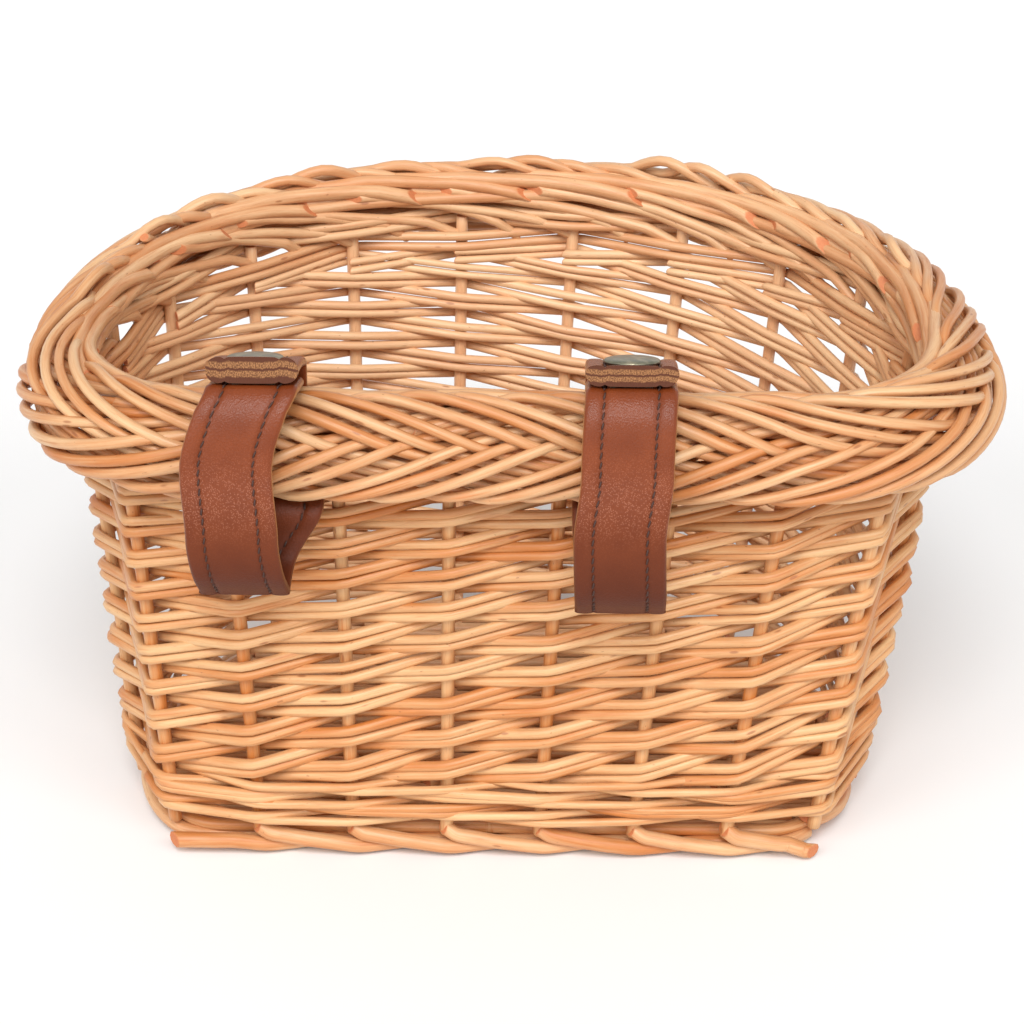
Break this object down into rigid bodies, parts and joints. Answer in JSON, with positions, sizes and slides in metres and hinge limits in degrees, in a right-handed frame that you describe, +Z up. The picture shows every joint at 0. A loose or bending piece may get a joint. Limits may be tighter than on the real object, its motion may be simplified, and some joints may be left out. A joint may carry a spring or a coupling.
{
  "type": "bicycle basket",
  "caption": "D-shaped woven willow handlebar basket with a plaited border and brown press-stud straps on its flat side that loop round a handlebar.",
  "frame": {"origin": "middle of the box that holds the part, at the underside of the foot", "axes": "+Z up, -Y out of the flat side with the straps, +X to the right seen from that side"},
  "size_m": [0.2712, 0.21, 0.1675],
  "materials": {
    "willow": "satin peeled willow",
    "strap": "fine grain, half gloss",
    "snap": "dark plated"
  },
  "bodies": {
    "basket": {"stake_01": "willow", "stake_02": "willow", "stake_03": "willow", "stake_04": "willow", "stake_05": "willow", "stake_06": "willow", "stake_07": "willow", "stake_08": "willow", "stake_09": "willow", "stake_10": "willow", "stake_11": "willow", "stake_12": "willow", "stake_13": "willow", "stake_14": "willow", "stake_15": "willow", "stake_16": "willow", "stake_17": "willow", "stake_18": "willow", "stake_19": "willow", "stake_20": "willow", "siding_pair_01": "willow", "siding_pair_02": "willow", "siding_pair_03": "willow", "siding_pair_04": "willow", "siding_pair_05": "willow", "siding_pair_06": "willow", "siding_pair_07": "willow", "siding_pair_08": "willow", "siding_pair_09": "willow", "siding_pair_10": "willow", "siding_pair_11": "willow", "siding_pair_12": "willow", "siding_pair_13": "willow", "siding_pair_14": "willow", "siding_pair_15": "willow", "siding_pair_16": "willow", "siding_pair_17": "willow", "siding_pair_18": "willow", "siding_pair_19": "willow", "siding_pair_20": "willow", "bottom_wale": "willow", "top_wale_lower": "willow", "top_wale_upper": "willow", "border_plait": "willow", "foot_border": "willow", "base_mat": "willow", "base_stick_left": "willow", "base_stick_right": "willow", "left_strap_back": "strap", "right_strap_back": "strap"},
    "left_tab": {"left_strap_tab": "strap", "left_snap_cap": "snap", "left_snap_socket": "snap"},
    "left_front": {"left_strap_front": "strap", "left_snap_stud": "snap"},
    "right_tab": {"right_strap_tab": "strap", "right_snap_cap": "snap", "right_snap_socket": "snap"},
    "right_front": {"right_strap_front": "strap", "right_snap_stud": "snap"}
  },
  "joints": [
    {"name": "left_tab_lift", "type": "hinge", "parent": "basket", "child": "left_tab", "pos_m": [-0.06509, -0.06323, 0.15357], "axis": [-1, 0, 0], "range_deg": [0, 100]},
    {"name": "left_front_open", "type": "hinge", "parent": "basket", "child": "left_front", "pos_m": [-0.06849, -0.09483, 0.10525], "axis": [1, 0, 0], "range_deg": [0, 45.5]},
    {"name": "right_tab_lift", "type": "hinge", "parent": "basket", "child": "right_tab", "pos_m": [0.03252, -0.06323, 0.15357], "axis": [-1, 0, 0], "range_deg": [0, 100]},
    {"name": "right_front_open", "type": "hinge", "parent": "basket", "child": "right_front", "pos_m": [0.03032, -0.09483, 0.10075], "axis": [1, 0, 0], "range_deg": [0, 45.5]}
  ],
  "couplings": [
    {"joint": "left_front_open", "follows": "left_tab_lift", "ratio": 0.45},
    {"joint": "right_front_open", "follows": "right_tab_lift", "ratio": 0.45}
  ]
}
